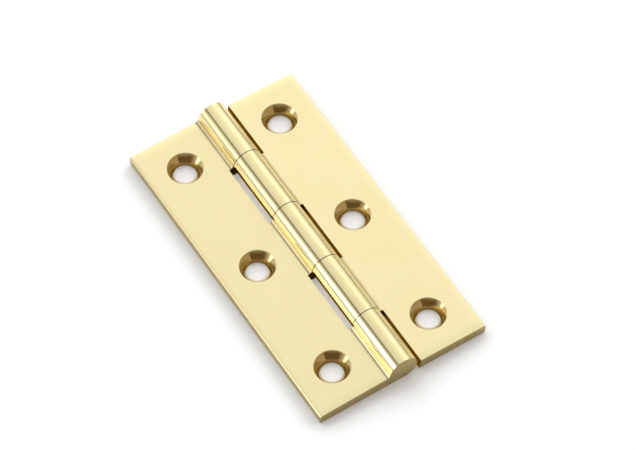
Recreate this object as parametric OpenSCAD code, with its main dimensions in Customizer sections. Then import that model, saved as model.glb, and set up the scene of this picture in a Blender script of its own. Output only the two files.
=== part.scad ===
// Solid drawn brass cabinet butt hinge, lying open with both backs flat on the surface.
// X runs across the leaves, Y along the pin, Z up. The origin is under the middle of the barrel.

/* [Leaves] */
// Length of the hinge along its pin
hinge_length = 64; // [48:1:90]
// Distance from the pin axis to the outer edge of each leaf
leaf_width = 17.4; // [15:0.2:26]
// Thickness of each leaf at its outer edge
edge_thickness = 2.1; // [1.6:0.1:2.4]
// Gap between the two inner faces when the hinge is closed
closed_gap = 0.5; // [0.3:0.1:1]
// Rounding left by polishing on the long outer edges
edge_radius = 0.3; // [0.1:0.05:0.6]

/* [Barrel] */
// Outer diameter of the knuckles
barrel_diameter = 5.6; // [5:0.1:7]
// Number of knuckles, always odd
knuckle_count = 5; // [3:2:7]
// Length of the knuckle at each end
end_knuckle = 12.2; // [6:0.2:14]
// Gap between the end faces of neighbouring knuckles
knuckle_gap = 0.15; // [0.1:0.05:0.4]
// Gap between the barrel and the edge of the leaf beside it
slot_clearance = 0.9; // [0.7:0.05:1.6]
// Diameter of the milling cutter, which leaves the edge of each slot hollow
slot_cutter = 20; // [14:1:40]
// Radius of the hollow where a leaf runs into its own knuckles
root_fillet = 0.8; // [0.3:0.05:1]
// What the flat back takes off the underside of the barrel
back_flat = 0.05; // [0.02:0.01:0.2]

/* [Pin] */
// Diameter of the pin
pin_diameter = 2.5; // [2:0.1:3]
// Clearance all round the pin in the knuckles of the swinging leaf
pin_clearance = 0.04; // [0.02:0.01:0.1]

/* [Screw holes] */
// Number of screw holes in each leaf
hole_count = 3; // [2:1:3]
// Distance from the end of the hinge to the middle of the end holes
hole_end = 7.4; // [5:0.2:10]
// Distance from the outer edge of the leaf to the middle of the holes
hole_inset = 7.2; // [5:0.1:8]
// Diameter of the screw hole where it passes through
hole_diameter = 4.3; // [3:0.1:5]
// Diameter of the countersink at the face
countersink_diameter = 6.7; // [6:0.1:8]
// Included angle of the countersink
countersink_angle = 80; // [70:2:100]

/* [Hidden] */
$fn = 96;
brass = [0.90, 0.80, 0.52];
barrel_radius = barrel_diameter / 2;
axis_z = barrel_radius - back_flat;
hole_x = leaf_width - hole_inset;
hole_spacing = (hinge_length - 2 * hole_end) / (hole_count - 1);

// The back of each leaf runs straight out from the underside of the barrel, and the inner
// face slopes down to the thinner outer edge, at half the closed gap from the pin axis.
edge_rise = axis_z - edge_thickness;
edge_reach = sqrt(leaf_width * leaf_width + edge_rise * edge_rise);
taper = atan2(edge_rise, leaf_width) - asin(closed_gap / 2 / edge_reach);

inner_knuckle = (hinge_length - 2 * end_knuckle) / (knuckle_count - 2);
slot_edge = barrel_radius + slot_clearance;
// How far a cutting shape runs past what it cuts
overrun = 1;
// How far a rounding or a hollow crosses the faces that it joins, so that it meets them in a clear line
crossing = 0.01;

// Place of the joint line after knuckle i, counted from the near end
function seam_y(i) = -hinge_length / 2 + end_knuckle + (i - 1) * inner_knuckle;
// Height of the inner face at a distance x from the pin axis
function face_z(x) = axis_z - closed_gap / 2 / cos(taper) - x * tan(taper);

// Point at a distance out along the slope of the inner face and a height square to it, from the pin axis
function from_axis(out, up) =
    [out * cos(taper) + up * sin(taper), axis_z - out * sin(taper) + up * cos(taper)];

// Outline of a leaf from the middle of the barrel to its outer edge
module leaf_outline() {
    inset = edge_radius - crossing;
    difference() {
        polygon([[0, 0], [leaf_width, 0], [leaf_width, face_z(leaf_width)], [0, face_z(0)]]);
        edge_corner([leaf_width - inset, inset], -1);
        edge_corner([leaf_width - inset, face_z(leaf_width - inset) - inset / cos(taper)], 1);
    }
}

// What polishing takes off one long edge, outside a rounding about the given middle
module edge_corner(middle, side) {
    difference() {
        translate(middle + [0, side < 0 ? -overrun : 0]) square(overrun);
        translate(middle) circle(r = edge_radius);
    }
}

// The hollow blend between the inner face and the barrel
module root_blend() {
    height = root_fillet - closed_gap / 2 - crossing;
    reach = sqrt(pow(barrel_radius + root_fillet - crossing, 2) - height * height);
    difference() {
        polygon([from_axis(0, -closed_gap), from_axis(reach, -closed_gap), from_axis(reach, height),
            from_axis(0, 0)]);
        translate(from_axis(reach, height)) circle(r = root_fillet);
    }
}

// Section of the drawn bar that a leaf is cut from, with the leaf towards +X and its back flat
module drawn_section() {
    difference() {
        union() {
            leaf_outline();
            root_blend();
            translate([0, axis_z]) circle(r = barrel_radius);
        }
        translate([-barrel_radius, -barrel_radius]) square([barrel_diameter, barrel_radius]);
    }
}

// Room for knuckle i of the other leaf, milled with the middle of the cutter at the height of the
// pin, and open at the end of the hinge for the outer ones
module knuckle_slot(i) {
    from = i == 0 ? -hinge_length / 2 - overrun : seam_y(i) - knuckle_gap / 2;
    to = i == knuckle_count - 1 ? hinge_length / 2 + overrun : seam_y(i + 1) + knuckle_gap / 2;
    translate([slot_edge - slot_cutter / 2, to, axis_z]) rotate([90, 0, 0])
        cylinder(h = to - from, d = slot_cutter);
}

// One countersunk screw hole, with its full diameter at the inner face
module screw_hole() {
    flare = tan(countersink_angle / 2);
    depth = (countersink_diameter - hole_diameter) / 2 / flare;
    translate([0, 0, -overrun]) cylinder(h = barrel_diameter + overrun, d = hole_diameter);
    translate([0, 0, face_z(hole_x) - depth])
        cylinder(h = depth + overrun, r1 = hole_diameter / 2,
            r2 = countersink_diameter / 2 + overrun * flare);
}

// A leaf towards +X that keeps its knuckles where i has the given parity, 0 for the end ones
module leaf(parity, bore_diameter) {
    difference() {
        translate([0, hinge_length / 2, 0]) rotate([90, 0, 0])
            linear_extrude(height = hinge_length) drawn_section();
        for (i = [1 - parity : 2 : knuckle_count - 1]) knuckle_slot(i);
        translate([0, -hinge_length / 2 - overrun, axis_z]) rotate([-90, 0, 0])
            cylinder(h = hinge_length + 2 * overrun, d = bore_diameter);
        for (i = [0 : hole_count - 1])
            translate([hole_x, (i - (hole_count - 1) / 2) * hole_spacing, 0]) screw_hole();
    }
}

// Leaf with the end knuckles, in which the pin is held fast
module left_leaf() {
    color(brass) mirror([1, 0, 0]) leaf(0, pin_diameter);
}

// Leaf that swings on the pin
module right_leaf() {
    color(brass) leaf(1, pin_diameter + 2 * pin_clearance);
}

// Plain pin, ground flush with the ends of the barrel
module hinge_pin() {
    color(brass) translate([0, -hinge_length / 2, axis_z]) rotate([-90, 0, 0])
        cylinder(h = hinge_length, d = pin_diameter);
}

left_leaf();
right_leaf();
hinge_pin();
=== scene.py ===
# Brass cabinet butt hinge, lying open on a white surface
import math
import bpy
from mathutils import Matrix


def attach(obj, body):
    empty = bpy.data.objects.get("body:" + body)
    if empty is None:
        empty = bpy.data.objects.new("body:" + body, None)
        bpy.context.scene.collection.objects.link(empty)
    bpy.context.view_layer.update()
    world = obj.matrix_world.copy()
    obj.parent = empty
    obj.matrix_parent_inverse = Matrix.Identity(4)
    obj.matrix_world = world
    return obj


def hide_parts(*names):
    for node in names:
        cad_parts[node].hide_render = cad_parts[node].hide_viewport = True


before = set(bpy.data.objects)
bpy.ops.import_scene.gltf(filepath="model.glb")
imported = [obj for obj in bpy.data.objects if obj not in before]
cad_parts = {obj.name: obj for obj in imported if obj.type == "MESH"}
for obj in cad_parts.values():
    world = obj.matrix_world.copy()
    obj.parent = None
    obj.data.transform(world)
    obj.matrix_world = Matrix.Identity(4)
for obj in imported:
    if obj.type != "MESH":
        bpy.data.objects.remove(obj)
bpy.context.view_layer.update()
scene = bpy.context.scene
mm = 0.001
print("Frame loaded")

# Camera: fitted to the corners, holes and knuckle joints of the photograph
cameraSettings = {
    "place": (-0.203222, -0.309944, 0.596787),
    "turn": (32.15908, -0.53696, -32.72594),  # degrees
    "lens": 221.4578,
    "sensor": 36.0,
    "clip": (0.01, 50.0),
}
cameraData = bpy.data.cameras.new("productCamera")
cameraData.lens = cameraSettings["lens"]
cameraData.sensor_width = cameraSettings["sensor"]
cameraData.sensor_fit = "HORIZONTAL"
cameraData.clip_start, cameraData.clip_end = cameraSettings["clip"]
camera = bpy.data.objects.new("productCamera", cameraData)
camera.location = cameraSettings["place"]
camera.rotation_euler = [math.radians(a) for a in cameraSettings["turn"]]
scene.collection.objects.link(camera)
scene.camera = camera
print("Camera placed")

# The drawn bar that both leaves are cut from, in millimetres
bar = {
    "length": 64.0,
    "leafWidth": 17.4,
    "edgeThickness": 2.1,
    "closedGap": 0.5,
    "edgeRadius": 0.3,
    "barrelRadius": 2.8,
    "backFlat": 0.05,
    "rootRadius": 0.8,
    "barrelSteps": 128,
    "rootSteps": 16,
    "edgeSteps": 6,
}
bar["axisHeight"] = bar["barrelRadius"] - bar["backFlat"]
edgeRise = bar["axisHeight"] - bar["edgeThickness"]
taper = math.atan2(edgeRise, bar["leafWidth"]) - math.asin(
    bar["closedGap"] / 2 / math.hypot(bar["leafWidth"], edgeRise))


def fromAxis(out, up):  # a point along the slope of the inner face and square to it
    return (out * math.cos(taper) + up * math.sin(taper),
            bar["axisHeight"] - out * math.sin(taper) + up * math.cos(taper))


def faceHeight(x):  # height of the inner face at a distance from the pin axis
    return bar["axisHeight"] - bar["closedGap"] / 2 / math.cos(taper) - x * math.tan(taper)


def deselectAll():
    if bpy.context.object and bpy.context.object.mode != "OBJECT":
        bpy.ops.object.mode_set(mode="OBJECT")
    bpy.ops.object.select_all(action="DESELECT")


def takeActive(name):
    piece = bpy.context.object
    piece.name = name
    piece.data.name = name
    return piece


def settle(piece):  # its place goes into its mesh
    deselectAll()
    bpy.context.view_layer.objects.active = piece
    piece.select_set(True)
    bpy.ops.object.transform_apply(location=True, rotation=True, scale=True)


def sweepPoint(centre, degrees, steps):  # the selected point draws an arc round a centre
    bpy.ops.mesh.spin(steps=steps, dupli=False, angle=math.radians(degrees),
                      center=(centre[0] * mm, -bar["length"] / 2 * mm, centre[1] * mm), axis=(0, -1, 0))


def runTo(start, end):  # the selected point draws a straight line
    bpy.ops.mesh.extrude_region_move(TRANSFORM_OT_translate={
        "value": ((end[0] - start[0]) * mm, 0, (end[1] - start[1]) * mm)})


def drawBar(name):
    # The section is drawn as an outline round the barrel, the root hollow and the leaf, then filled and extruded
    axis = (0.0, bar["axisHeight"])
    barrel, root, edge = bar["barrelRadius"], bar["rootRadius"], bar["edgeRadius"]
    halfFlat = math.sqrt(barrel ** 2 - bar["axisHeight"] ** 2)
    rise = root - bar["closedGap"] / 2
    rootCentre = fromAxis(math.sqrt((barrel + root) ** 2 - rise ** 2), rise)
    toRoot = math.degrees(math.atan2(rootCentre[1] - axis[1], rootCentre[0] - axis[0]))
    flatAngle = math.degrees(math.atan2(-bar["axisHeight"], -halfFlat))
    barrelSweep = 360.0 + flatAngle - toRoot
    rootSweep = (270.0 - math.degrees(taper)) - (180.0 + toRoot)
    rootEnd = fromAxis(math.sqrt((barrel + root) ** 2 - rise ** 2), -bar["closedGap"] / 2)
    topCentre = (bar["leafWidth"] - edge, faceHeight(bar["leafWidth"] - edge) - edge / math.cos(taper))
    topStart = (topCentre[0] + edge * math.sin(taper), topCentre[1] + edge * math.cos(taper))
    sideTop = (bar["leafWidth"], topCentre[1])
    sideLow = (bar["leafWidth"], edge)

    deselectAll()
    bpy.ops.mesh.primitive_plane_add(size=mm, location=(-halfFlat * mm, -bar["length"] / 2 * mm, 0))
    piece = takeActive(name)
    settle(piece)
    bpy.ops.object.mode_set(mode="EDIT")
    bpy.ops.mesh.select_mode(type="VERT")
    bpy.ops.mesh.select_all(action="SELECT")
    bpy.ops.mesh.merge(type="CENTER")
    sweepPoint(axis, barrelSweep, bar["barrelSteps"])
    sweepPoint(rootCentre, -rootSweep, bar["rootSteps"])
    runTo(rootEnd, topStart)
    sweepPoint(topCentre, 90.0 - math.degrees(taper), bar["edgeSteps"])
    runTo(sideTop, sideLow)
    sweepPoint((bar["leafWidth"] - edge, edge), 90.0, bar["edgeSteps"])
    bpy.ops.mesh.select_all(action="SELECT")
    bpy.ops.mesh.edge_face_add()
    bpy.ops.mesh.extrude_region_move(TRANSFORM_OT_translate={"value": (0, bar["length"] * mm, 0)})
    bpy.ops.mesh.select_all(action="SELECT")
    bpy.ops.mesh.remove_doubles(threshold=1e-7)
    bpy.ops.mesh.normals_make_consistent(inside=False)
    bpy.ops.object.mode_set(mode="OBJECT")
    return piece


def cut(piece, cutter):  # takes the cutter's shape out of the piece
    deselectAll()
    bpy.context.view_layer.objects.active = piece
    piece.select_set(True)
    taking = piece.modifiers.new("cut", "BOOLEAN")
    taking.operation = "DIFFERENCE"
    taking.solver = "EXACT"
    taking.object = cutter
    bpy.ops.object.modifier_apply(modifier=taking.name)
    bpy.data.objects.remove(cutter)


# Knuckles: five along the barrel, sawn apart by a thin cutter, with room beside the other leaf's knuckles
knuckles = {
    "count": 5,
    "endLength": 12.2,
    "gap": 0.15,
    "slotClearance": 0.9,
    "slotCutter": 20.0,
    "cutterSteps": 192,
    "pinDiameter": 2.5,
    "pinClearance": 0.04,
    "boreSteps": 64,
    "overrun": 1.0,  # how far each cutter runs past what it cuts
}
knuckles["innerLength"] = (bar["length"] - 2 * knuckles["endLength"]) / (knuckles["count"] - 2)


def seamAt(i):  # place of the joint line after knuckle i, counted from the near end
    return -bar["length"] / 2 + knuckles["endLength"] + (i - 1) * knuckles["innerLength"]


def cutRound(piece, name, diameter, steps, start, end, x=0.0):  # a round cutter along the barrel, level with the pin
    deselectAll()
    bpy.ops.mesh.primitive_cylinder_add(
        vertices=steps, radius=diameter / 2 * mm, depth=(end - start) * mm,
        location=(x * mm, (start + end) / 2 * mm, bar["axisHeight"] * mm), rotation=(math.pi / 2, 0, 0))
    cutter = takeActive(name)
    settle(cutter)
    cut(piece, cutter)


def cutSlot(piece, i):  # room for knuckle i of the other leaf, open at the end of the hinge for the outer ones
    last = i == knuckles["count"] - 1
    beyond = bar["length"] / 2 + knuckles["overrun"]
    start = -beyond if i == 0 else seamAt(i) - knuckles["gap"] / 2
    end = beyond if last else seamAt(i + 1) + knuckles["gap"] / 2
    middle = bar["barrelRadius"] + knuckles["slotClearance"] - knuckles["slotCutter"] / 2
    cutRound(piece, "slotCutter", knuckles["slotCutter"], knuckles["cutterSteps"], start, end, middle)


def boreOut(piece, diameter):  # the hole for the pin, through all knuckles
    beyond = bar["length"] / 2 + knuckles["overrun"]
    cutRound(piece, "boreCutter", diameter, knuckles["boreSteps"], -beyond, beyond)


# Screw holes: three in line in each leaf, countersunk from the inner face
holes = {
    "places": (-24.6, 0.0, 24.6),
    "inset": 7.2,
    "through": 4.3,
    "rim": 6.7,
    "angle": 80.0,
    "steps": 96,
    "cutterTop": 4.0,
}
holes["x"] = bar["leafWidth"] - holes["inset"]


def sinkHole(piece, y):  # one cutter, straight up to the neck and flaring from there
    through, top = holes["through"] / 2, holes["cutterTop"]
    flare = math.tan(math.radians(holes["angle"] / 2))
    neck = faceHeight(holes["x"]) - (holes["rim"] - holes["through"]) / 2 / flare
    deselectAll()
    bpy.ops.mesh.primitive_circle_add(vertices=holes["steps"], radius=through * mm, fill_type="NGON",
                                      location=(holes["x"] * mm, y * mm, -knuckles["overrun"] * mm))
    cutter = takeActive("sinkCutter")
    settle(cutter)
    bpy.ops.object.mode_set(mode="EDIT")
    bpy.ops.mesh.select_all(action="SELECT")
    for rise in (neck + knuckles["overrun"], top - neck):
        bpy.ops.mesh.extrude_region_move(TRANSFORM_OT_translate={"value": (0, 0, rise * mm)})
    widen = (through + (top - neck) * flare) / through
    bpy.ops.transform.resize(value=(widen, widen, 1), center_override=(holes["x"] * mm, y * mm, top * mm))
    bpy.ops.mesh.select_all(action="SELECT")
    bpy.ops.mesh.normals_make_consistent(inside=False)
    bpy.ops.object.mode_set(mode="OBJECT")
    cut(piece, cutter)


# Edges: the fine break that sawing and polishing leave, in millimetres and degrees
edges = {"leafBreak": 0.07, "pinBreak": 0.01, "segments": 2, "sharpAngle": 28.0, "smoothAngle": 40.0}


def breakEdges(piece, width):
    deselectAll()
    bpy.context.view_layer.objects.active = piece
    piece.select_set(True)
    bpy.ops.object.mode_set(mode="EDIT")
    bpy.ops.mesh.select_all(action="SELECT")
    bpy.ops.mesh.remove_doubles(threshold=1e-6)
    bpy.ops.mesh.normals_make_consistent(inside=False)
    bpy.ops.object.mode_set(mode="OBJECT")
    rounding = piece.modifiers.new("edgeBreak", "BEVEL")
    rounding.width = width * mm
    rounding.segments = edges["segments"]
    rounding.limit_method = "ANGLE"
    rounding.angle_limit = math.radians(edges["sharpAngle"])
    rounding.harden_normals = False
    bpy.ops.object.modifier_apply(modifier=rounding.name)


def smoothOut(piece):
    deselectAll()
    bpy.context.view_layer.objects.active = piece
    piece.select_set(True)
    bpy.ops.object.shade_smooth_by_angle(angle=math.radians(edges["smoothAngle"]))
    weighing = piece.modifiers.new("flatFaces", "WEIGHTED_NORMAL")
    weighing.keep_sharp = True
    bpy.ops.object.modifier_apply(modifier=weighing.name)


def makeLeaf(name, parity, boreDiameter, mirrored):
    piece = drawBar(name)
    for i in range(knuckles["count"]):
        if i % 2 != parity:
            cutSlot(piece, i)
    for y in holes["places"]:
        sinkHole(piece, y)
    if mirrored:
        piece.scale = (-1, 1, 1)
        settle(piece)
    breakEdges(piece, edges["leafBreak"])
    boreOut(piece, boreDiameter)  # after the edges, because the pin is ground flush with them
    smoothOut(piece)
    print("Leaf made:", name, len(piece.data.polygons), "faces")
    return piece


leftLeaf = makeLeaf("leftLeafBrass", 0, knuckles["pinDiameter"], True)
rightLeaf = makeLeaf("rightLeafBrass", 1, knuckles["pinDiameter"] + 2 * knuckles["pinClearance"], False)

# Pin: plain, ground flush with the barrel
deselectAll()
bpy.ops.mesh.primitive_cylinder_add(
    vertices=knuckles["boreSteps"], radius=knuckles["pinDiameter"] / 2 * mm, depth=bar["length"] * mm,
    location=(0, 0, bar["axisHeight"] * mm), rotation=(math.pi / 2, 0, 0))
pin = takeActive("plainPin")
settle(pin)
breakEdges(pin, edges["pinBreak"])
smoothOut(pin)
print("Pin made")


# Finishes: shared effects come first, each one a node group
maskRange = (0.35, 0.65)  # the part of a noise that goes from groove to ridge


def newGroup(name, inputs, outputs):
    group = bpy.data.node_groups.new(name, "ShaderNodeTree")
    for label, kind, value in inputs:
        socket = group.interface.new_socket(name=label, in_out="INPUT", socket_type="NodeSocket" + kind)
        if value is not None:
            socket.default_value = value
    for label, kind in outputs:
        group.interface.new_socket(name=label, in_out="OUTPUT", socket_type="NodeSocket" + kind)
    return group, group.nodes.new("NodeGroupInput"), group.nodes.new("NodeGroupOutput")


def calculate(tree, operation, first, second=None, third=None):  # one sum on links or plain numbers
    node = tree.nodes.new("ShaderNodeMath")
    node.operation = operation
    for socket, value in zip(node.inputs, (first, second, third)):
        if isinstance(value, (int, float)):
            socket.default_value = value
        elif value is not None:
            tree.links.new(value, socket)
    return node.outputs[0]


def easeBetween(tree, value, low, high, start=0.0, end=1.0):  # a smooth step from start to end
    node = tree.nodes.new("ShaderNodeMapRange")
    node.interpolation_type = "SMOOTHSTEP"
    node.inputs["From Min"].default_value = low
    node.inputs["From Max"].default_value = high
    node.inputs["To Min"].default_value = start
    node.inputs["To Max"].default_value = end
    tree.links.new(value, node.inputs["Value"])
    return node.outputs["Result"]


def mixColours(tree, factor, low, high):  # each is a colour or a link
    mix = tree.nodes.new("ShaderNodeMix")
    mix.data_type = "RGBA"
    tree.links.new(factor, mix.inputs["Factor"])
    for label, colour in (("A", low), ("B", high)):
        if isinstance(colour, tuple):
            mix.inputs[label].default_value = colour
        else:
            tree.links.new(colour, mix.inputs[label])
    return mix.outputs["Result"]


# Lines that drawing, sawing or polishing leaves: noise stretched along the way the tool went
toolLines, given, result = newGroup(
    "toolLines",
    (("Vector", "Vector", None), ("Lines", "Vector", (2500.0, 60.0, 2500.0))),
    (("Height", "Float"), ("Mask", "Float")))
stretch = toolLines.nodes.new("ShaderNodeVectorMath")
stretch.operation = "MULTIPLY"
toolLines.links.new(given.outputs["Vector"], stretch.inputs[0])
toolLines.links.new(given.outputs["Lines"], stretch.inputs[1])
lineNoise = toolLines.nodes.new("ShaderNodeTexNoise")
lineNoise.inputs["Scale"].default_value = 1.0
lineNoise.inputs["Detail"].default_value = 3.0
lineNoise.inputs["Roughness"].default_value = 0.6
toolLines.links.new(stretch.outputs[0], lineNoise.inputs["Vector"])
toolLines.links.new(lineNoise.outputs["Fac"], result.inputs["Height"])
toolLines.links.new(easeBetween(toolLines, lineNoise.outputs["Fac"], *maskRange), result.inputs["Mask"])

# Handling: patches a few millimetres wide where the brass has toned a little, and fine specks
handling, given, result = newGroup(
    "handling",
    (("Vector", "Vector", None), ("Patch Scale", "Float", 160.0), ("Speck Scale", "Float", 3500.0),
     ("Clean", "Color", (0.92, 0.80, 0.45, 1.0)), ("Toned", "Color", (0.88, 0.75, 0.40, 1.0)),
     ("Low", "Float", 0.2), ("High", "Float", 0.3)),
    (("Color", "Color"), ("Roughness", "Float"), ("Height", "Float")))
patches = handling.nodes.new("ShaderNodeTexNoise")
patches.inputs["Detail"].default_value = 4.0
patches.inputs["Roughness"].default_value = 0.55
handling.links.new(given.outputs["Vector"], patches.inputs["Vector"])
handling.links.new(given.outputs["Patch Scale"], patches.inputs["Scale"])
specks = handling.nodes.new("ShaderNodeTexNoise")
specks.inputs["Detail"].default_value = 2.0
handling.links.new(given.outputs["Vector"], specks.inputs["Vector"])
handling.links.new(given.outputs["Speck Scale"], specks.inputs["Scale"])
patchRange = (0.3, 0.7)
handling.links.new(mixColours(handling, easeBetween(handling, patches.outputs["Fac"], *patchRange),
                              given.outputs["Clean"], given.outputs["Toned"]), result.inputs["Color"])
speckShare, patchShare = 0.6, 0.4  # what each adds to the roughness
both = calculate(handling, "MULTIPLY_ADD", specks.outputs["Fac"], speckShare,
                 calculate(handling, "MULTIPLY", patches.outputs["Fac"], patchShare))
span = calculate(handling, "SUBTRACT", given.outputs["High"], given.outputs["Low"])
handling.links.new(calculate(handling, "MULTIPLY_ADD", both, span, given.outputs["Low"]), result.inputs["Roughness"])
handling.links.new(specks.outputs["Fac"], result.inputs["Height"])

# Polishing rolls the faces over a little towards the outer edges
edgeRoll, given, result = newGroup(
    "edgeRoll",
    (("Vector", "Vector", None), ("Half Width", "Float", 0.0174), ("Side Band", "Float", 0.0011),
     ("Side Slope", "Float", 0.12), ("Half Length", "Float", 0.032), ("End Band", "Float", 0.002),
     ("End Slope", "Float", 0.08)),
    (("Height", "Float"),))
split = edgeRoll.nodes.new("ShaderNodeSeparateXYZ")
edgeRoll.links.new(given.outputs["Vector"], split.inputs[0])


def fallOff(tree, coordinate, half, band, slope):  # nothing inside the band, then a parabola down to the edge
    past = calculate(tree, "MAXIMUM", 0.0, calculate(
        tree, "ADD", calculate(tree, "SUBTRACT", calculate(tree, "ABSOLUTE", coordinate), half), band))
    return calculate(tree, "MULTIPLY", calculate(tree, "DIVIDE", calculate(tree, "MULTIPLY", past, past), band),
                     calculate(tree, "MULTIPLY", slope, -0.5))


edgeRoll.links.new(calculate(
    edgeRoll, "ADD",
    fallOff(edgeRoll, split.outputs["X"], given.outputs["Half Width"], given.outputs["Side Band"],
            given.outputs["Side Slope"]),
    fallOff(edgeRoll, split.outputs["Y"], given.outputs["Half Length"], given.outputs["End Band"],
            given.outputs["End Slope"])), result.inputs["Height"])

# Drawing leaves the long side faces a little crowned
crowned, given, result = newGroup(
    "crowned",
    (("Vector", "Vector", None), ("Middle", "Float", 0.001), ("Half", "Float", 0.001), ("Slope", "Float", 0.2)),
    (("Height", "Float"),))
split = crowned.nodes.new("ShaderNodeSeparateXYZ")
crowned.links.new(given.outputs["Vector"], split.inputs[0])
offMiddle = calculate(crowned, "SUBTRACT", split.outputs["Z"], given.outputs["Middle"])
crowned.links.new(calculate(
    crowned, "DIVIDE", calculate(crowned, "MULTIPLY", calculate(crowned, "MULTIPLY", offMiddle, offMiddle),
                                 calculate(crowned, "MULTIPLY", given.outputs["Slope"], -0.5)),
    given.outputs["Half"]), result.inputs["Height"])

# Rings that the countersinking tool leaves round each screw hole
turnedRings, given, result = newGroup(
    "turnedRings",
    (("Vector", "Vector", None), ("Middle", "Float", 0.0102), ("Spacing", "Float", 0.0246),
     ("Rings", "Float", 5000.0)),
    (("Height", "Float"), ("Mask", "Float"), ("Down Slope", "Float")))
split = turnedRings.nodes.new("ShaderNodeSeparateXYZ")
turnedRings.links.new(given.outputs["Vector"], split.inputs[0])
fromMiddle = calculate(turnedRings, "SUBTRACT", calculate(turnedRings, "ABSOLUTE", split.outputs["X"]),
                       given.outputs["Middle"])
along = calculate(turnedRings, "SUBTRACT", split.outputs["Y"],
                  calculate(turnedRings, "MULTIPLY", given.outputs["Spacing"],
                            calculate(turnedRings, "ROUND", calculate(turnedRings, "DIVIDE", split.outputs["Y"],
                                                                      given.outputs["Spacing"]))))
radius = calculate(turnedRings, "SQRT", calculate(turnedRings, "MULTIPLY_ADD", fromMiddle, fromMiddle,
                                                  calculate(turnedRings, "MULTIPLY", along, along)))
depthShare = 0.6  # how much depth counts beside radius down the slope of the countersink
downSlope = calculate(turnedRings, "MULTIPLY_ADD", split.outputs["Z"], depthShare, radius)
ringNoise = turnedRings.nodes.new("ShaderNodeTexNoise")
ringNoise.noise_dimensions = "1D"
ringNoise.inputs["Detail"].default_value = 2.0
ringNoise.inputs["Roughness"].default_value = 0.7
turnedRings.links.new(calculate(turnedRings, "MULTIPLY", downSlope, given.outputs["Rings"]), ringNoise.inputs["W"])
ringNoise.inputs["Scale"].default_value = 1.0
turnedRings.links.new(ringNoise.outputs["Fac"], result.inputs["Height"])
turnedRings.links.new(downSlope, result.inputs["Down Slope"])
turnedRings.links.new(easeBetween(turnedRings, ringNoise.outputs["Fac"], *maskRange), result.inputs["Mask"])
print("Shared effects made")


def newMaterial(name):
    material = bpy.data.materials.new(name)
    material.use_nodes = True
    tree = material.node_tree
    return material, tree, tree.nodes["Principled BSDF"]


def place(tree, group, vector, values):  # one shared effect, with this finish's own values
    node = tree.nodes.new("ShaderNodeGroup")
    node.node_tree = group
    tree.links.new(vector, node.inputs["Vector"])
    for label, value in values.items():
        node.inputs[label].default_value = value
    return node


def raiseMarks(tree, height, distance, under=None):
    bump = tree.nodes.new("ShaderNodeBump")
    bump.inputs["Strength"].default_value = 1.0
    bump.inputs["Distance"].default_value = distance
    tree.links.new(height, bump.inputs["Height"])
    if under is not None:
        tree.links.new(under, bump.inputs["Normal"])
    return bump.outputs["Normal"]


def shadeBy(tree, mask, colour, dark, amount):  # darker brass where the mask is low
    return mixColours(tree, easeBetween(tree, mask, 0.0, 1.0, amount, 0.0), colour, dark)


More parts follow.
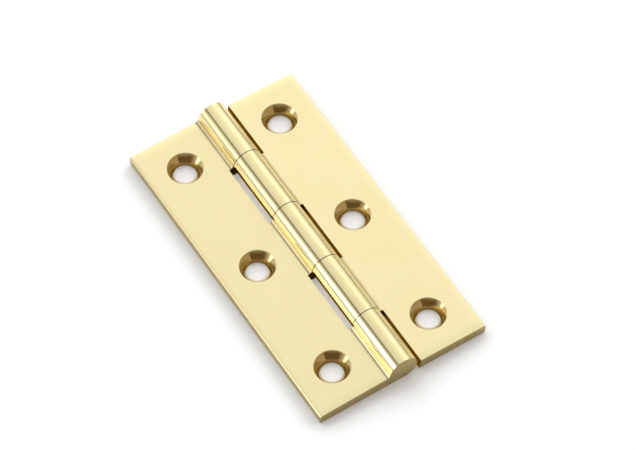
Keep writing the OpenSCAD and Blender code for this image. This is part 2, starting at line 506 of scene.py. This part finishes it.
finishes = {
    "satinFace": {"clean": (0.92, 0.805, 0.465, 1.0), "toned": (0.905, 0.79, 0.445, 1.0), "low": 0.24, "high": 0.33,
                  "lines": (900.0, 40.0, 900.0), "lineDepth": 3e-7, "shade": 0.05,
                  "dark": (0.80, 0.67, 0.35, 1.0), "patch": 120.0, "speck": 4500.0, "speckDepth": 6e-7,
                  "tint": (0.70, 0.72, 1.0, 1.0),  # satin brass loses some shine at a low angle
                  "roll": {"Side Band": 0.0011, "Side Slope": 0.14, "End Band": 0.0018, "End Slope": 0.10}},
    "polishedBarrel": {"clean": (0.92, 0.80, 0.45, 1.0), "toned": (0.90, 0.77, 0.42, 1.0), "low": 0.05, "high": 0.09,
                       "lines": (2200.0, 30.0, 2200.0), "lineDepth": 1e-6, "shade": 0.06,
                       "dark": (0.70, 0.55, 0.27, 1.0), "patch": 200.0, "speck": 3500.0, "speckDepth": 3e-7},
    # root hollow: a darker brass, painted shade in the crease that also dims the reflections there
    "shadedRootHollow": {"clean": (0.70, 0.60, 0.36, 1.0), "toned": (0.62, 0.52, 0.30, 1.0), "low": 0.10, "high": 0.15,
                   "lines": (2600.0, 40.0, 2600.0), "lineDepth": 1e-6, "shade": 0.25,
                   "dark": (0.50, 0.38, 0.18, 1.0), "patch": 220.0, "speck": 3500.0, "speckDepth": 6e-7},
    # long sides: a darker brass that paints the shade on them, with drawing lines and a crowned bump
    "shadedDrawnSide": {"clean": (0.60, 0.48, 0.235, 1.0), "toned": (0.54, 0.43, 0.205, 1.0), "low": 0.18, "high": 0.28,
                  "crown": {"Middle": 0.0011, "Half": 0.001, "Slope": 0.36},
                  "lines": (2500.0, 40.0, 2500.0), "lineDepth": 2e-6, "shade": 0.2,
                  "dark": (0.52, 0.41, 0.20, 1.0), "patch": 250.0, "speck": 3500.0, "speckDepth": 1e-6},
    # sawn ends: rougher brass with saw lines, and a darker colour that paints the shade on the end faces
    "shadedSawnEnd": {"clean": (0.50, 0.39, 0.17, 1.0), "toned": (0.44, 0.33, 0.14, 1.0), "low": 0.32, "high": 0.45,
                "lines": (1800.0, 1800.0, 90.0), "lineDepth": 4e-6, "shade": 0.35,
                "dark": (0.34, 0.25, 0.10, 1.0), "patch": 300.0, "speck": 3000.0, "speckDepth": 2e-6},
    # slot walls and bore: a dark brown brass and dark tint that paint the shade in the slots, with milling lines
    "shadedMilledSlot": {"clean": (0.42, 0.26, 0.08, 1.0), "toned": (0.30, 0.17, 0.045, 1.0), "low": 0.38, "high": 0.50,
                   "tint": (0.45, 0.26, 0.08, 1.0),
                   "lines": (1500.0, 1500.0, 120.0), "lineDepth": 4e-6, "shade": 0.35,
                   "dark": (0.16, 0.085, 0.02, 1.0), "patch": 350.0, "speck": 3000.0, "speckDepth": 2e-6},
    # slot ends: near-black brass and tint, painted shade in the corners between the knuckles
    "slotEnd": {"clean": (0.13, 0.085, 0.03, 1.0), "toned": (0.10, 0.06, 0.02, 1.0), "low": 0.35, "high": 0.48,
                "tint": (0.30, 0.18, 0.06, 1.0), "lines": (1500.0, 120.0, 1500.0), "lineDepth": 4e-6, "shade": 0.3,
                "dark": (0.07, 0.04, 0.012, 1.0), "patch": 350.0, "speck": 3000.0, "speckDepth": 2e-6},
    # hole walls: a darker brass and tint that paint the shade inside the screw holes
    "shadedDrilledHole": {"clean": (0.50, 0.34, 0.13, 1.0), "toned": (0.40, 0.25, 0.09, 1.0), "low": 0.25, "high": 0.38,
                    "tint": (0.60, 0.42, 0.18, 1.0), "lines": (300.0, 300.0, 4500.0), "lineDepth": 3e-6, "shade": 0.35,
                    "dark": (0.26, 0.15, 0.05, 1.0), "patch": 350.0, "speck": 3000.0, "speckDepth": 1e-6},
    "drawnBack": {"clean": (0.85, 0.73, 0.41, 1.0), "toned": (0.74, 0.62, 0.34, 1.0), "low": 0.25, "high": 0.38,
                  "lines": (1800.0, 40.0, 1800.0), "lineDepth": 2e-6, "shade": 0.25,
                  "dark": (0.60, 0.48, 0.24, 1.0), "patch": 140.0, "speck": 3000.0, "speckDepth": 1e-6},
}


def brassFinish(name):  # brass with tool lines, toned patches and specks
    look = finishes[name]
    material, tree, shader = newMaterial(name)
    where = tree.nodes.new("ShaderNodeTexCoord").outputs["Object"]
    marks = place(tree, toolLines, where, {"Lines": look["lines"]})
    worn = place(tree, handling, where, {
        "Patch Scale": look["patch"], "Speck Scale": look["speck"], "Clean": look["clean"], "Toned": look["toned"],
        "Low": look["low"], "High": look["high"]})
    tree.links.new(shadeBy(tree, marks.outputs["Mask"], worn.outputs["Color"], look["dark"], look["shade"]),
                   shader.inputs["Base Color"])
    tree.links.new(worn.outputs["Roughness"], shader.inputs["Roughness"])
    rolled = None
    if "roll" in look:
        rolled = raiseMarks(tree, place(tree, edgeRoll, where, look["roll"]).outputs["Height"], 1.0)
    if "crown" in look:
        rolled = raiseMarks(tree, place(tree, crowned, where, look["crown"]).outputs["Height"], 1.0)
    specked = raiseMarks(tree, worn.outputs["Height"], look["speckDepth"], rolled)
    tree.links.new(raiseMarks(tree, marks.outputs["Height"], look["lineDepth"], specked), shader.inputs["Normal"])
    shader.inputs["Metallic"].default_value = 1.0
    shader.inputs["Specular Tint"].default_value = look.get("tint", (1.0, 1.0, 1.0, 1.0))
    return material


surfaces = {name: brassFinish(name) for name in finishes}

# Countersinks: rings from the tool, darker in the grooves
sinkLook = {"clean": (0.78, 0.62, 0.305, 1.0), "toned": (0.71, 0.54, 0.245, 1.0), "dark": (0.46, 0.29, 0.10, 1.0),
            "low": 0.07, "high": 0.12, "rings": 3000.0, "ringDepth": 5.0e-6, "shade": 0.3, "patch": 500.0,
            "speck": 4000.0, "flare": 0.035}
turnedSink, tree, shader = newMaterial("turnedSink")
where = tree.nodes.new("ShaderNodeTexCoord").outputs["Object"]
turned = place(tree, turnedRings, where, {"Middle": holes["x"] * mm, "Spacing": holes["places"][2] * mm,
                                          "Rings": sinkLook["rings"]})
worn = place(tree, handling, where, {
    "Patch Scale": sinkLook["patch"], "Speck Scale": sinkLook["speck"], "Clean": sinkLook["clean"],
    "Toned": sinkLook["toned"], "Low": sinkLook["low"], "High": sinkLook["high"]})
tree.links.new(shadeBy(tree, turned.outputs["Mask"], worn.outputs["Color"], sinkLook["dark"], sinkLook["shade"]),
               shader.inputs["Base Color"])
tree.links.new(worn.outputs["Roughness"], shader.inputs["Roughness"])
flared = raiseMarks(tree, calculate(tree, "MULTIPLY", turned.outputs["Down Slope"], -sinkLook["flare"]), 1.0)
tree.links.new(raiseMarks(tree, turned.outputs["Height"], sinkLook["ringDepth"], flared), shader.inputs["Normal"])
shader.inputs["Metallic"].default_value = 1.0
surfaces["turnedSink"] = turnedSink
print("Finishes made")

# Where one finish ends and the next begins: parts of a face's normal first, then places in millimetres
zones = {
    "alongPin": 0.6,
    "square": 0.9,
    "towardsPin": -0.5,
    "wallTilt": 0.4,
    "sinkTilt": (-0.5, 0.93),
    "endBand": 0.06,
    "holeWall": 0.03,
    "sinkRim": 0.02,
    "slotReach": (2.9, 4.0),
    "slotFloor": 0.1,
    "boreWall": 0.1,
    "sideBand": 0.05,
    "rootStart": 0.015,
    "rootReach": 3.7,
    "rootHeight": 2.3,
    "barrelReach": 3.6,
}


def finishFor(face):  # which finish a face of a leaf has, by its place and the way it looks
    x, y, z = (abs(face.center.x) / mm, abs(face.center.y) / mm, face.center.z / mm)
    outward = face.normal.x * math.copysign(1, face.center.x)
    toHole = min(math.hypot(x - holes["x"], y - abs(p)) for p in holes["places"])
    fromPin = math.hypot(x, z - bar["axisHeight"])
    slotStart, slotEnd = zones["slotReach"]
    leastTilt, mostTilt = zones["sinkTilt"]
    if y > bar["length"] / 2 - zones["endBand"] and abs(face.normal.y) > zones["alongPin"]:
        return "shadedSawnEnd"
    if toHole < holes["through"] / 2 + zones["holeWall"] and abs(face.normal.z) < zones["wallTilt"]:
        return "shadedDrilledHole"
    if toHole < holes["rim"] / 2 + zones["sinkRim"] and leastTilt < face.normal.z < mostTilt:
        return "turnedSink"
    if abs(face.normal.y) > zones["alongPin"] and x < slotEnd:
        return "slotEnd"  # between the knuckles, near-black brass that paints the shade there
    if fromPin < knuckles["pinDiameter"] / 2 + zones["boreWall"]:
        return "shadedMilledSlot"  # bore, in the dark brass of painted shade
    if outward < zones["towardsPin"] and slotStart < x < slotEnd and z > zones["slotFloor"]:
        return "shadedMilledSlot"
    if face.normal.z < -zones["square"]:
        return "drawnBack"
    if x > bar["leafWidth"] - zones["sideBand"] and outward > zones["square"]:
        return "shadedDrawnSide"
    # the root hollow takes the darker brass of painted shade
    if fromPin > bar["barrelRadius"] + zones["rootStart"] and x < zones["rootReach"] and z > zones["rootHeight"]:
        return "shadedRootHollow"
    if x < zones["barrelReach"] or x > bar["leafWidth"] - bar["edgeRadius"]:
        return "polishedBarrel"
    return "satinFace"


order = list(surfaces)
for piece in (leftLeaf, rightLeaf):
    piece.data.materials.clear()
    for surface in surfaces.values():
        piece.data.materials.append(surface)
    for face in piece.data.polygons:
        face.material_index = order.index(finishFor(face))
# the pin takes the same darker end brass of painted shade
pin.data.materials.clear()
pin.data.materials.append(surfaces["shadedSawnEnd"])
print("Finishes laid on")

# Studio: long soft panels run beside the pin, with a bright one low on the left and a dim room in front
studio = {
    "stops": ((-90, 0.44), (-60, 0.75), (-50, 0.80), (-43, 0.62), (-36.5, 0.48), (-34.5, 0.14), (-31.5, 0.14),
              (-29.5, 0.42), (-26, 0.60), (-22, 0.80), (-17, 0.84), (0, 0.90), (15, 0.98), (24, 1.02), (30, 1.06),
              (36, 1.20), (42, 1.34), (48, 1.36), (54, 1.24), (60, 1.08), (66, 1.03), (71, 0.96), (77, 0.80),
              (83, 0.36), (90, 0.03)),
    "top": 1.4,
    "nearLevel": 0.924,  # the sky is brighter towards the far end
    "farLevel": 1.324,
    "farRange": (0.3, 0.8),
    "front": (-0.35, 0.15),  # where the sky gives way to the room
    "roomLeft": (0.16, 0.11, 0.052, 1.0),
    "roomRight": (0.49, 0.405, 0.285, 1.0),
    "roomSide": (0.12, 0.18),  # from the left part of the room to the right part
    "ceiling": (0.50, 0.495, 0.485, 1.0),
    "roomRise": (0.20, 0.27),
    "roomFall": (0.50, 0.68),
    "panel": 1.6,
    "panelSlant": (0.12, 0.34),
    "panelFar": (0.425, 0.52),
    "panelRise": (0.055, 0.31),
    "panelFall": (0.42, 0.62),
    "nearGlow": 1.6,  # the left panel is brighter where the near end sees it
    "nearRange": (0.40, 0.43),
    "nearSlant": (0.38, 0.44),
    "sideGlow": 1.2,  # and towards its outer side
    "sideSlant": (0.38, 0.46),
}
world = bpy.data.worlds.new("studio")
scene.world = world
world.use_nodes = True
tree = world.node_tree
way = tree.nodes.new("ShaderNodeSeparateXYZ")
tree.links.new(tree.nodes.new("ShaderNodeTexCoord").outputs["Generated"], way.inputs[0])
east, north, up = way.outputs["X"], way.outputs["Y"], way.outputs["Z"]
turnOfSky = tree.nodes.new("ShaderNodeMapRange")
turnOfSky.inputs["From Min"].default_value = -math.pi / 2
turnOfSky.inputs["From Max"].default_value = math.pi / 2
tree.links.new(calculate(tree, "ARCTAN2", east, up), turnOfSky.inputs["Value"])
panels = tree.nodes.new("ShaderNodeValToRGB")
tree.links.new(turnOfSky.outputs["Result"], panels.inputs["Fac"])
ramp = panels.color_ramp.elements
ramp.remove(ramp[1])
for i, (angle, level) in enumerate(studio["stops"]):
    stop = ramp.new((angle + 90) / 180) if i else ramp[0]
    grey = level / studio["top"]
    stop.color = (grey, grey, grey, 1.0)
behind = calculate(tree, "MULTIPLY", easeBetween(tree, north, *studio["front"]),
                   easeBetween(tree, north, *studio["farRange"], studio["nearLevel"], studio["farLevel"]))
sky = calculate(tree, "MULTIPLY", calculate(tree, "MULTIPLY", panels.outputs["Color"], studio["top"]), behind)
slant = calculate(tree, "DIVIDE", north, calculate(tree, "MAXIMUM", calculate(tree, "MULTIPLY", east, -1.0), 0.001))
glow = calculate(tree, "MULTIPLY", easeBetween(tree, north, *studio["nearRange"], studio["nearGlow"], 0.0),
                 easeBetween(tree, slant, *studio["nearSlant"]))
sideways = calculate(tree, "MULTIPLY", easeBetween(tree, slant, *studio["panelSlant"]),
                     easeBetween(tree, north, *studio["panelFar"], 1.0, 0.0))
sideways = calculate(tree, "MULTIPLY", sideways,
                     easeBetween(tree, slant, *studio["sideSlant"], studio["sideGlow"], 1.0))
sideways = calculate(tree, "MULTIPLY_ADD", sideways, glow, sideways)
upward = calculate(tree, "MULTIPLY", easeBetween(tree, up, *studio["panelRise"]),
                   easeBetween(tree, up, *studio["panelFall"], 1.0, 0.0))
west = calculate(tree, "LESS_THAN", east, 0.0)
leftPanel = calculate(tree, "MULTIPLY", calculate(tree, "MULTIPLY", sideways, upward), west)
background = tree.nodes["Background"]
background.inputs["Color"].default_value = (1.0, 1.0, 1.0, 1.0)
tree.links.new(calculate(tree, "MULTIPLY_ADD", leftPanel, studio["panel"], sky), background.inputs["Strength"])

# The room in front: a dim band at the height of the furniture, lighter on the right, and pale above and below it
roomShade = mixColours(tree, easeBetween(tree, east, *studio["roomSide"]), studio["roomLeft"], studio["roomRight"])
roomBand = calculate(tree, "MULTIPLY", easeBetween(tree, up, *studio["roomRise"]),
                     easeBetween(tree, up, *studio["roomFall"], 1.0, 0.0))
room = tree.nodes.new("ShaderNodeBackground")
tree.links.new(mixColours(tree, roomBand, studio["ceiling"], roomShade), room.inputs["Color"])
tree.links.new(easeBetween(tree, north, *studio["front"], 1.0, 0.0), room.inputs["Strength"])
together = tree.nodes.new("ShaderNodeAddShader")
tree.links.new(background.outputs[0], together.inputs[0])
tree.links.new(room.outputs[0], together.inputs[1])
tree.links.new(together.outputs[0], tree.nodes["World Output"].inputs["Surface"])

# Two broad soft lamps, from the right and from behind, make the shadow
lamps = {
    "rightLamp": {"azimuth": 12.0, "elevation": 19.0, "spread": 74.0, "strength": 2.12, "colour": (1.0, 1.0, 1.0)},
    "backLamp": {"azimuth": 106.0, "elevation": 27.0, "spread": 72.0, "strength": 1.40, "colour": (0.94, 0.98, 1.0)},
}
for name, lamp in lamps.items():
    light = bpy.data.lights.new(name, "SUN")
    light.energy = lamp["strength"]
    light.color = lamp["colour"]
    light.angle = math.radians(lamp["spread"])
    item = bpy.data.objects.new(name, light)
    item.rotation_euler = (math.radians(90 - lamp["elevation"]), 0, math.radians(lamp["azimuth"] + 90))
    item.visible_glossy = False  # the brass shows the panels, not the lamps
    scene.collection.objects.link(item)
print("Studio lit")

# Floor
floorSettings = {
    "size": 20.0,
    "colour": (0.93, 0.93, 0.93, 1.0),
    "roughness": 0.9,
    "underHinge": 0.1,  # light added where the floor shows through the screw holes
    "besideBarrel": 0.33,  # and through the slots
    "barrelEdge": (0.0045, 0.006),
    "sideEdge": (0.0140, 0.0165),
    "endEdge": (0.029, 0.0315),
}
deselectAll()
bpy.ops.mesh.primitive_plane_add(size=floorSettings["size"], location=(0, 0, 0))
floor = takeActive("whiteFloor")
settle(floor)
floorPaint, tree, shader = newMaterial("whiteFloor")
shader.inputs["Base Color"].default_value = floorSettings["colour"]
shader.inputs["Roughness"].default_value = floorSettings["roughness"]
shader.inputs["Specular IOR Level"].default_value = 0.0
rays = tree.nodes.new("ShaderNodeLightPath")
seen = calculate(tree, "MAXIMUM", rays.outputs["Is Camera Ray"],
                 calculate(tree, "MAXIMUM", rays.outputs["Is Glossy Ray"], rays.outputs["Is Transmission Ray"]))
spot = tree.nodes.new("ShaderNodeSeparateXYZ")
tree.links.new(tree.nodes.new("ShaderNodeTexCoord").outputs["Object"], spot.inputs[0])
across, along = (calculate(tree, "ABSOLUTE", spot.outputs[label]) for label in "XY")
# Painted light: the floor glows under the hinge, most beside the barrel, and lightens the shade seen through the holes
# and slots
paintedLift = calculate(tree, "MULTIPLY",
                 easeBetween(tree, across, *floorSettings["barrelEdge"],
                             floorSettings["besideBarrel"], floorSettings["underHinge"]),
                 calculate(tree, "MULTIPLY", easeBetween(tree, across, *floorSettings["sideEdge"], 1.0, 0.0),
                           easeBetween(tree, along, *floorSettings["endEdge"], 1.0, 0.0)))
shader.inputs["Emission Color"].default_value = (1, 1, 1, 1)
tree.links.new(calculate(tree, "MULTIPLY", seen, paintedLift), shader.inputs["Emission Strength"])
floor.data.materials.append(floorPaint)
print("Floor laid")

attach(leftLeaf, "fixed_leaf")
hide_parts("left_leaf")
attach(rightLeaf, "swinging_leaf")
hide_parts("right_leaf")
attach(pin, "fixed_leaf")
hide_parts("hinge_pin")

scene.view_settings.view_transform = "Standard"
